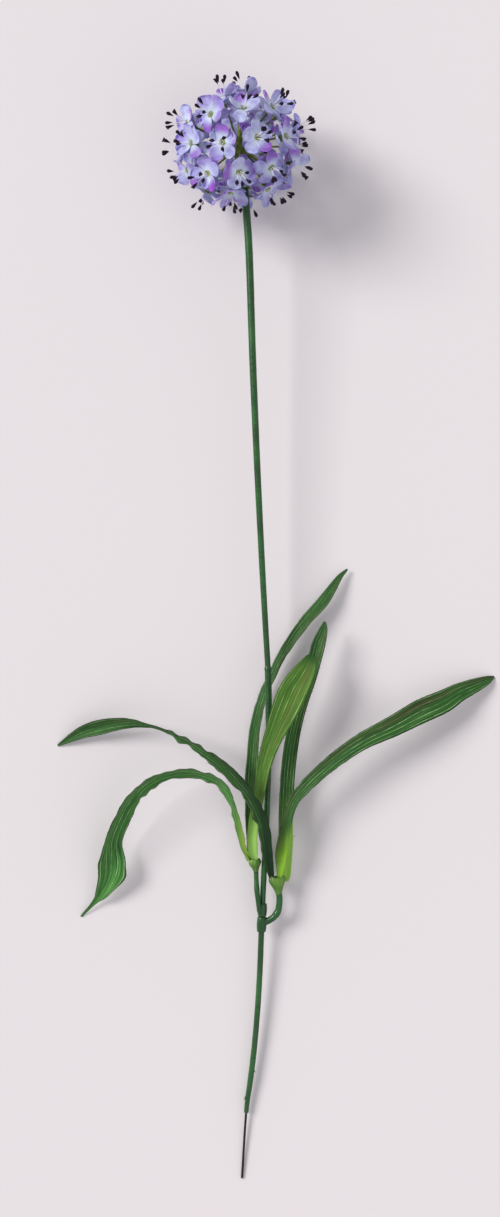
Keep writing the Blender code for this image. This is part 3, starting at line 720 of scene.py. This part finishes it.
def build_branch(name, node, collar, stalk_path, stalk_radius, cup, material):
    """A barrel collar on the stem with a stalk that leaves its side, melted together as one moulding."""
    built = Build()
    low, high, radius = collar
    foot, mouth = Vector(cup[0]), Vector(cup[1])
    cup_end = tuple(foot.lerp(mouth, CUP_REACH))

    def barrel(share, angle):
        return (radius + STALK_SKIN / 2) * (0.86 + 0.16 * math.sin(math.pi * share) ** 0.6)

    built.tube(swept(stem_stretch(low, high, 24), barrel, 32))
    path = [Vector(row) for row in smooth_path(stalk_path + [cup_end], 8)]

    def stalk(share, angle):
        knuckle = 0.22 * math.exp(-((share - 0.45) / 0.06) ** 2)
        return stalk_radius * (1.12 - 0.14 * share) + knuckle + STALK_SKIN

    built.tube(swept(path, stalk, 24))
    piece = make_piece(name, built, material, [node])
    remesh = piece.modifiers.new("melt", "REMESH")
    remesh.mode = "VOXEL"
    remesh.voxel_size = MELT_VOXEL * MM
    remesh.use_smooth_shade = True
    smooth = piece.modifiers.new("round", "SMOOTH")
    smooth.factor = 0.5
    smooth.iterations = 3


def build_cup(name, node, cup, flare, prong, material):
    """A ribbed cup with a wavy lip, pinched in unless flare opens it, and a pointed prong on one side."""
    foot, mouth, half_width, half_depth = Vector(cup[0]), Vector(cup[1]), cup[2], cup[3]
    along = mouth - foot
    floor = 1 - CUP_DEPTH / along.length
    inside = [(0.98, 0.63, 0.68), (0.85, 0.68, 0.74), (floor, 0.62, 0.7), (floor, 0.2, 0.2)]
    rings = []
    for n, (share, wide, deep) in enumerate(CUP_OUTSIDE + inside):
        wide *= 1 + flare * max(share - 0.6, 0) / 0.4
        axis = foot + along * share
        ring = ring_about(axis, along, half_width * wide, CUP_SIDES, half_depth * deep)
        shaped = []
        for i, point in enumerate(ring):
            angle = 2 * math.pi * i / CUP_SIDES
            rib = 1 + (0.035 * math.cos(angle * CUP_RIBS) if n < len(CUP_OUTSIDE) else 0)
            wave = 0.05 * math.sin(angle * 3 + 1) + 0.04 * math.sin(angle * 7)
            shaped.append(axis + (point - axis) * rib + along * wave * max(share - 0.5, 0))
        rings.append(shaped)
    built = Build()
    built.tube(rings)
    tip, root, thick = prong
    root, tip = Vector(root), Vector(tip)
    steps = []
    for step in range(9):
        share = step / 8
        wide, deep = thick * (1 - share) ** 0.7 + 0.08, thick * 0.6 * (1 - share) + 0.08
        steps.append(ring_about(root.lerp(tip, share), tip - root, wide, 12, deep))
    built.tube(steps)
    make_piece(name, built, material, [node])


# ---------------- leaves

def leaf_frames(rows):
    """Midrib, direction across the blade, direction out of its face, and half-width at each station."""
    places = [Vector(row[:3]) for row in rows]
    found = []
    for place, tangent, row in zip(places, tangents(places), rows):
        side = tangent.cross(UP).normalized()
        up = side.cross(tangent)
        roll = math.radians(row[4])
        across = side * math.cos(roll) + up * math.sin(roll)
        out = up * math.cos(roll) - side * math.sin(roll)
        half = row[3] / 2
        midrib = place + side * half * math.sin(math.radians(LEAF_FOLD)) * math.sin(roll)
        found.append((midrib, across, out, half))
    return found


def with_foot(rows):
    """A leaf's stations with one more before them, so that its narrow end reaches down into the cup."""
    foot = [a + LEAF_FOOT * (a - b) for a, b in zip(rows[0][:3], rows[1][:3])]
    return [(*foot, rows[0][3] * LEAF_FOOT, rows[0][4]), *rows]


def build_leaf(name, rows, ripple, pale_foot, dark_tip, material, seed):
    """A strap leaf: a sheet folded softly at its midrib, with rippled, ragged edges, and loose fibres."""
    rng = random.Random(seed)
    fold = math.radians(LEAF_FOLD)
    path = resample(smooth_path(rows, 10), LEAF_ROWS)
    frames = leaf_frames(path)
    length = sum((Vector(a[:3]) - Vector(b[:3])).length for a, b in zip(path, path[1:]))
    points = []
    looks = []
    for r, (midrib, across, out, half) in enumerate(frames):
        share = r / (LEAF_ROWS - 1)
        run = share * length
        calm = min(share * 5, (1 - share) * 8, 1)
        faded = max(ripple * (1 - (share - RIPPLE_END) / RIPPLE_FADE), CALM_RIPPLE)
        rippled = ripple if share < RIPPLE_END else faded
        corner = CORNER_BULGE * math.exp(-((share - LOW_LEAF_CORNER) / CORNER_LENGTH) ** 2)
        corner *= name == "leaf_left_low"
        line = []
        values = []
        for c in range(LEAF_COLUMNS + 1):
            t = 2 * c / LEAF_COLUMNS - 1
            bend = math.sqrt(t * t + 0.02) - 0.14
            edge = abs(t) ** 3
            ragged = 0.03 * edge * wobble(run * 0.7, t * 3, seed)
            wave = rippled * edge * calm * wobble(run * 0.15, t * 1.2 + 5, seed)
            cockle = 0.25 * calm * wobble(run * 0.16, t * 2.4, seed + 9)
            place = midrib + across * half * t * (1 + ragged + corner * (t < 0) * edge) * math.cos(fold)
            place += out * (half * bend * math.sin(fold) + wave + cockle)
            place.z = max(place.z, LOWEST - SHIFT.z + LEAF_SHEET)
            line.append(place)
            darkness = dark_tip * max(share - DARK_TIP_START, 0) / (1 - DARK_TIP_START)
            values.append((t, run, min(share / pale_foot, 1) + darkness))
        points.append(line)
        looks.append(values)
    built = Build()
    built.grid(points, looks)
    piece = make_piece(name + "_blade", built, material, [name])
    sheet = piece.modifiers.new("sheet", "SOLIDIFY")
    sheet.thickness = LEAF_SHEET * MM
    sheet.offset = 0
    build_fibres(name, points, length, rng, material)


def build_fibres(name, points, length, rng, material):
    """Threads that have come loose from the edges of the cut fabric."""
    built = Build()
    for _ in range(FIBRES_PER_LEAF):
        r = rng.randrange(8, LEAF_ROWS - 2)
        side = rng.choice((0, -1))
        place = points[r][side]
        outward = (points[r][side] - points[r][LEAF_COLUMNS // 2]).normalized()
        forward = (points[r][side] - points[r - 1][side]).normalized()
        reach = rng.uniform(0.8, 2.6)
        curl = Vector((rng.uniform(-1, 1), rng.uniform(-1, 1), rng.uniform(-0.5, 0.8)))
        rings = []
        for step in range(5):
            share = step / 4
            at = place + (outward * 0.5 + forward * 0.7) * reach * share + curl * reach * 0.35 * share ** 2
            at.z = max(at.z, LOWEST - SHIFT.z + 0.1)
            rings.append(ring_about(at, outward + forward * 0.5, 0.07 * (1 - share) + 0.025, 4))
        built.tube(rings, [(0.42, length * 0.5, 1)] * 5)
    make_piece(name + "_fibres", built, material, [])


# ---------------- flower head

def head_axis():
    """The stem's direction where it enters the head."""
    return (Vector(HEAD_CENTRE) - stem_point(UPPER_STEM_TOP_Y - 6)).normalized()


def direction(tilt, bearing):
    """A unit vector from degrees off straight up and a bearing around it."""
    tilt, bearing = math.radians(tilt), math.radians(bearing)
    return Vector((math.sin(tilt) * math.cos(bearing), math.sin(tilt) * math.sin(bearing), math.cos(tilt)))


def apart(one, other, degrees):
    """A push away from a neighbour that is nearer than this many degrees."""
    angle = one.angle(other)
    wanted = math.radians(degrees)
    if angle >= wanted:
        return Vector()
    away = one - other * one.dot(other)
    return away.normalized() * (wanted - angle)


def floret_directions():
    """Directions of all florets, as in the CAD."""
    found = [direction(*row) for row in UPPER_FLORETS]
    golden = 180 * (3 - math.sqrt(5))
    for i in range(LOWER_FLORETS):
        share = i / (LOWER_FLORETS - 1)
        tilt = math.degrees(math.acos(LOWER_RANGE[0] * (1 - share) + LOWER_RANGE[1] * share))
        found.append(direction(tilt, FIRST_LOWER_BEARING + golden * i))
    stem = -head_axis()
    for _ in range(SPREAD_ROUNDS):
        moved = []
        for one in found:
            push = Vector()
            for other in found:
                if other is not one:
                    push += apart(one, other, SPREAD_DEGREES)
            push += apart(one, stem, STEM_CLEARANCE_DEGREES) * STEM_PUSH
            moved.append((one + push * SPREAD_STEP).normalized())
        found = moved
    return found


def throat_distance(way):
    """How far the throat of a floret facing this way lies from the head's centre."""
    axis = head_axis()
    along = way.dot(axis)
    across = math.sqrt(max(1 - along * along, 0))
    return 1 / math.hypot(across / HEAD_RADIUS_ACROSS, along / HEAD_RADIUS_ALONG)


def floret_frame(way, turn):
    """Two directions across a floret, turned about its own axis."""
    side = way.cross(Vector(NO_FLORET_WAY)).normalized()
    up = way.cross(side)
    return (side * math.cos(turn) + up * math.sin(turn), up * math.cos(turn) - side * math.sin(turn))


def around(side, up, angle):
    """A direction across the floret's axis."""
    return side * math.cos(angle) + up * math.sin(angle)


def pedicel_start(way):
    """How far from the head's centre a pedicel begins."""
    if way.dot(head_axis()) > 0:
        return HUB_RADIUS + GAP
    beside = UPPER_STEM_TOP_RADIUS + HUB_WALL + PEDICEL_RADIUS + 3 * GAP
    return max(HUB_RADIUS + GAP, beside / math.sin(way.angle(-head_axis())))


def petal_half_width(share):
    """Half the width of a petal at a share of its length: narrow at the throat, and round at the tip."""
    if share < PETAL_WIDEST:
        growth = math.sin(share / PETAL_WIDEST * math.pi / 2) ** 1.15
        return PETAL_ROOT_HALF_WIDTH + (PETAL_HALF_WIDTH - PETAL_ROOT_HALF_WIDTH) * growth
    return PETAL_HALF_WIDTH * math.sqrt(max(1 - ((share - PETAL_WIDEST) / (1 - PETAL_WIDEST)) ** 2, 0.0))


def build_petals(floret, throat, way, side, up, rng, material):
    """Two whorls of thin petals, each on a small funnel: the floret's face, and a smaller one behind it."""
    built = Build()
    grow_whorl(built, throat, way, side, up, 1.0, rng)
    behind = math.pi / PETALS
    turned = (around(side, up, behind), around(side, up, behind + math.pi / 2))
    grow_whorl(built, throat - way * WHORL_SPACING, way, *turned, BACK_WHORL, rng)
    piece = make_piece(floret + "_petals", built, material, [floret], smooth_angle=70)
    sheet = piece.modifiers.new("sheet", "SOLIDIFY")
    sheet.thickness = PETAL_SHEET * MM
    sheet.offset = 0


def grow_whorl(built, throat, way, side, up, size, rng):
    """Petals round a throat, each with its own lift, cup, curl and print, and the funnel they grow from."""
    violet_petal = rng.randrange(PETALS)
    tint = rng.random()
    for i in range(PETALS):
        out = around(side, up, 2 * math.pi * (i + 0.5) / PETALS + rng.uniform(-0.13, 0.13))
        lateral = way.cross(out)
        lift, cup, curl = rng.uniform(-3.4, 6.4), rng.uniform(0.2, 2.4), rng.uniform(-3.0, 1.6)
        twist, reach = rng.uniform(-0.35, 0.35), PETAL_REACH * size * rng.uniform(0.82, 1.04)
        phase, own = rng.uniform(0, 50), 0.65 * tint + 0.35 * rng.random()
        violet = rng.uniform(0.7, 1.0) if i == violet_petal else rng.choice((0, 0.05, 0.1, 0.4))
        layer = PETAL_LAYER * (i % 2)
        narrow = rng.uniform(0.78, 1.02)
        rows = []
        looks = []
        for r in range(PETAL_ROWS + 1):
            share = math.sin(r / PETAL_ROWS * math.pi / 2)
            distance = PETAL_START + (reach - PETAL_START) * share
            half = petal_half_width(share) * size * narrow
            line = []
            values = []
            for c in range(PETAL_COLUMNS + 1):
                t = 2 * c / PETAL_COLUMNS - 1
                crumple = 0.6 * share * wobble(distance * 0.35, t * 1.3, phase)
                pleat = -0.1 * math.cos(t * 9) * share
                height = lift * share ** 1.5 + cup * (t * t - 0.3) * share + curl * share ** 5
                height += twist * half * t * share * 2 + crumple + layer + pleat
                place = throat + out * distance + lateral * half * t + way * height
                place.z = max(place.z, LOWEST - SHIFT.z + PETAL_SHEET)
                line.append(place)
                values.append((share, violet, own))
            rows.append(line)
            looks.append(values)
        built.grid(rows, looks)
    spokes = [around(side, up, 2 * math.pi * k / FUNNEL_SIDES) for k in range(FUNNEL_SIDES)]
    funnel = [[throat + way * at + spoke * radius for spoke in spokes] for at, radius in FUNNEL_PROFILE]
    built.tube(funnel, [(0.03, 0, 0.5)] * len(funnel), caps=False)


def build_pedicel(floret, head, way, side, up, reach, material):
    """The floret's own stalk, which swells into the tube behind the petals."""
    start = pedicel_start(way)
    built = Build()
    rings = []
    calyx_foot = reach - CALYX_LENGTH
    profile = [  # distance from the head's centre, and radius
        (start, 1.15),
        (start + 0.5, 1.1),
        (start + 1.2, 0.8),
        ((start + calyx_foot) / 2, 0.62),
        (calyx_foot - 1, 0.62),
        (calyx_foot, 0.85),
        (calyx_foot + 1.6, 1.05),
        (calyx_foot + 4.2, 1.2),
        (reach - 1.2, 1.6),
        (reach - 0.3, 1.95),
    ]
    for n, (along, radius) in enumerate(profile):
        bow = math.sin(math.pi * n / (len(profile) - 1)) * 0.5
        centre = head + way * along + side * bow
        ring = []
        for k in range(PEDICEL_SIDES):
            angle = 2 * math.pi * k / PEDICEL_SIDES
            ridge = 1 + 0.09 * math.cos(angle * 5) * (along > calyx_foot)
            ring.append(centre + around(side, up, angle) * radius * ridge)
        rings.append(ring)
    built.tube(rings)
    make_piece(floret + "_pedicel", built, material, [floret], smooth_angle=60)


def stamen_place(throat, way, lean, bend, share, length):
    """A place on a stamen; one that would pass through the table lies along it instead."""
    splay = math.radians(STAMEN_SPLAY) * (0.7 + 0.5 * share)
    run = length * share
    place = throat + way * run * math.cos(splay) + lean * (0.7 + run * math.sin(splay)) + bend * share ** 2
    short = STAMEN_REST_HEIGHT - place.z
    if short > 0:
        outward = Vector((place.x - HEAD_CENTRE[0], place.y - HEAD_CENTRE[1], 0))
        place += outward.normalized() * short * 0.8
        place.z = STAMEN_REST_HEIGHT
    return place


def build_stamens(floret, throat, way, side, up, rng, material):
    """The stamens: a fine curved filament each, thickened into a lumpy, sometimes two-lobed, dark club."""
    built = Build()
    for i in range(STAMENS):
        lean = around(side, up, 2 * math.pi * (i + rng.uniform(-0.4, 0.4)) / STAMENS)
        bend = random_vector(rng) * 1.8
        length = STAMEN_LENGTH * rng.uniform(0.92, 1.12)
        club = CLUB_LENGTH / length
        start = 1 - club
        rings = []
        looks = []
        steps = range(STAMEN_STEPS + 1)
        places = [stamen_place(throat, way, lean, bend, step / STAMEN_STEPS, length) for step in steps]
        phase = rng.uniform(0, 90)
        for n, (place, tangent) in enumerate(zip(places, tangents(places))):
            share = n / STAMEN_STEPS
            radius = FILAMENT_RADIUS
            if share > start:
                inside = (share - start) / club
                swell = math.sin(min(inside * 1.25, 1) * math.pi / 2) ** 1.6
                radius += (CLUB_RADIUS - FILAMENT_RADIUS) * swell
                radius *= 1 + 0.16 * wobble(inside * 5, phase, 0)
                if inside > 0.8:
                    radius *= math.sqrt(max(1 - ((inside - 0.8) / 0.215) ** 2, 0.05))
            rings.append(ring_about(place, tangent, radius, 10))
            along = share / start * 0.6 if share <= start else 0.6 + 0.4 * (share - start) / club
            looks.append((along, 0, 0))
        built.tube(rings, looks)
        if rng.random() < ANTHER_SHARE:
            add_anther(built, places[-2], tangents(places)[-1], rng)
    make_piece(floret + "_stamens", built, material, [floret], smooth_angle=60)


def add_anther(built, place, tangent, rng):
    """A crossbar at a stamen's end, so that it looks like a T or two lobes."""
    cross = tangent.cross(random_vector(rng)).normalized()
    rings = []
    for step in range(9):
        share = step / 4 - 1
        swell = math.sqrt(max(1 - share ** 2, 0.04)) * (0.72 + 0.28 * abs(share))
        at = place + cross * share * ANTHER_HALF_LENGTH + tangent * 0.3 * abs(share)
        at.z = max(at.z, LOWEST - SHIFT.z + ANTHER_LOWEST)
        rings.append(ring_about(at, cross, ANTHER_RADIUS * swell, 10))
    built.tube(rings, [(1, 0, 0)] * len(rings))


def build_hub(material):
    """The knobbly ball that the pedicels plug into, with its neck over the stem."""
    centre, axis = Vector(HEAD_CENTRE), head_axis()
    foot = -(HUB_RADIUS + HUB_NECK_LENGTH)
    wall = UPPER_STEM_TOP_RADIUS + GAP + HUB_WALL
    profile = [(foot, wall - 0.9), (foot, wall - 0.2), (foot + 0.4, wall), (-HUB_RADIUS * 0.95, wall)]
    for step in range(15):
        angle = math.radians(-32 + 120 * step / 14)
        profile.append((HUB_RADIUS * math.sin(angle), HUB_RADIUS * max(math.cos(angle), 0.02)))
    rings = []
    for along, radius in profile:
        ring = ring_about(centre + axis * along, axis, radius, 48)
        shaped = []
        for point in ring:
            knob = noise.noise(point * 0.55) * 0.35 + noise.noise(point * 1.6) * 0.12
            shaped.append(point + (point - centre).normalized() * knob * (along > -HUB_RADIUS))
        rings.append(shaped)
    built = Build()
    built.tube(rings)
    make_piece("hub_ball", built, material, ["flower_hub"])


def build_head(petal, stamen, hub):
    """The hub and every floret on it."""
    build_hub(hub)
    head = Vector(HEAD_CENTRE)
    for i, way in enumerate(floret_directions()):
        rng = random.Random(FLORET_SEED + i)
        reach = throat_distance(way)
        throat = head + way * reach
        turn = math.radians(FLORET_TURN * i)
        side, up = floret_frame(way, turn)
        floret = f"floret_{i + 1:02d}"
        build_pedicel(floret, head, way, side, up, reach, hub)
        nod = random_vector(rng) * FLORET_NOD
        way = (way + nod).normalized()
        side, up = floret_frame(way, turn)
        build_petals(floret, throat, way, side, up, rng, petal)
        build_stamens(floret, throat, way, side, up, rng, stamen)


# ---------------- stage, light and camera

def build_stage():
    """A plain pale surface."""
    mesh = bpy.data.meshes.new("floor")
    corners = [(x * FLOOR_REACH, y * FLOOR_REACH, 0) for x, y in ((-1, -1), (1, -1), (1, 1), (-1, 1))]
    mesh.from_pydata(corners, [], [(0, 1, 2, 3)])
    s = Shader("pale_floor", roughness=0.85, specular=0.2)
    s.colour(rgb(215, 210, 212))
    mesh.materials.append(s.material)
    floor = bpy.data.objects.new("floor", mesh)
    link(floor)


def add_sky_light(name, way, spread, strength, colour):
    """Distant light from one direction, spread over some degrees so that its shadows are soft."""
    data = bpy.data.lights.new(name, "SUN")
    data.angle = math.radians(spread)
    data.energy = strength
    data.color = colour
    made = bpy.data.objects.new(name, data)
    made.rotation_euler = (-Vector(way)).to_track_quat("-Z", "Y").to_euler()
    link(made)


def build_light_and_camera():
    """Daylight from the upper left, a weak fill from the lower right, and a camera that looks down."""
    surroundings = bpy.data.worlds.new("studio")
    surroundings.use_nodes = True
    background = surroundings.node_tree.nodes["Background"]
    background.inputs["Color"].default_value = (0.97, 0.96, 1.0, 1)
    background.inputs["Strength"].default_value = 0.6
    bpy.context.scene.world = surroundings
    bpy.context.scene.view_settings.view_transform = "Standard"
    add_sky_light("window", way=(-1.35, 0.65, 1.15), spread=24, strength=2.7, colour=(1.0, 0.98, 0.96))
    add_sky_light("fill", way=(0.7, -0.6, 1.0), spread=60, strength=0.35, colour=(0.96, 0.97, 1.0))
    data = bpy.data.cameras.new("camera")
    data.sensor_fit = "VERTICAL"
    data.sensor_height = 36
    data.lens = data.sensor_height * CAMERA_HEIGHT / VIEW_LENGTH
    data.clip_start = 0.01
    data.clip_end = 20
    camera = bpy.data.objects.new("camera", data)
    camera.location = world((0, 0, CAMERA_HEIGHT))
    link(camera)
    bpy.context.scene.camera = camera


def main():
    stem = moulded_material("stem_moulding", rgb(16, 64, 20), rgb(28, 88, 30), roughness=0.3)
    cup = moulded_material("cup_moulding", rgb(54, 96, 16), rgb(104, 144, 48), roughness=0.38)
    hub = moulded_material("hub_moulding", rgb(78, 92, 16), rgb(128, 144, 44), roughness=0.5, grain=2.0)
    build_wire(wire_material())
    build_lower_stem(stem)
    build_upper_stem(stem)
    build_branch("left_knuckle", "left_branch", LEFT_COLLAR, LEFT_STALK_PATH, LEFT_STALK_RADIUS,
                 LEFT_CUP, stem)
    build_branch("right_knuckle", "right_branch", RIGHT_COLLAR, RIGHT_STALK_PATH, RIGHT_STALK_RADIUS,
                 RIGHT_CUP, stem)
    build_cup("left_cup", "left_leaf_socket", LEFT_CUP, 0, LEFT_PRONG, cup)
    build_cup("right_cup", "right_leaf_socket", RIGHT_CUP, RIGHT_CUP_FLARE, RIGHT_PRONG, cup)
    for i, (name, rows) in enumerate(LEAVES.items()):
        leaf_print, foot, stripe, ripple, pale_foot = LEAF_LOOKS[name]
        slot, dark_tip = ("pale_leaf", 1) if name == "leaf_front_pale" else ("leaf", 0)
        material = leaf_material(name + "_print", LEAF_PRINTS[leaf_print], foot, stripe)
        rows = rows if name == "leaf_upright" else with_foot(rows)
        build_leaf(name, rows, ripple, pale_foot, dark_tip, material, LEAF_SEED + i)
    build_head(petal_material(), stamen_material(), hub)
    build_stage()
    build_light_and_camera()


main()
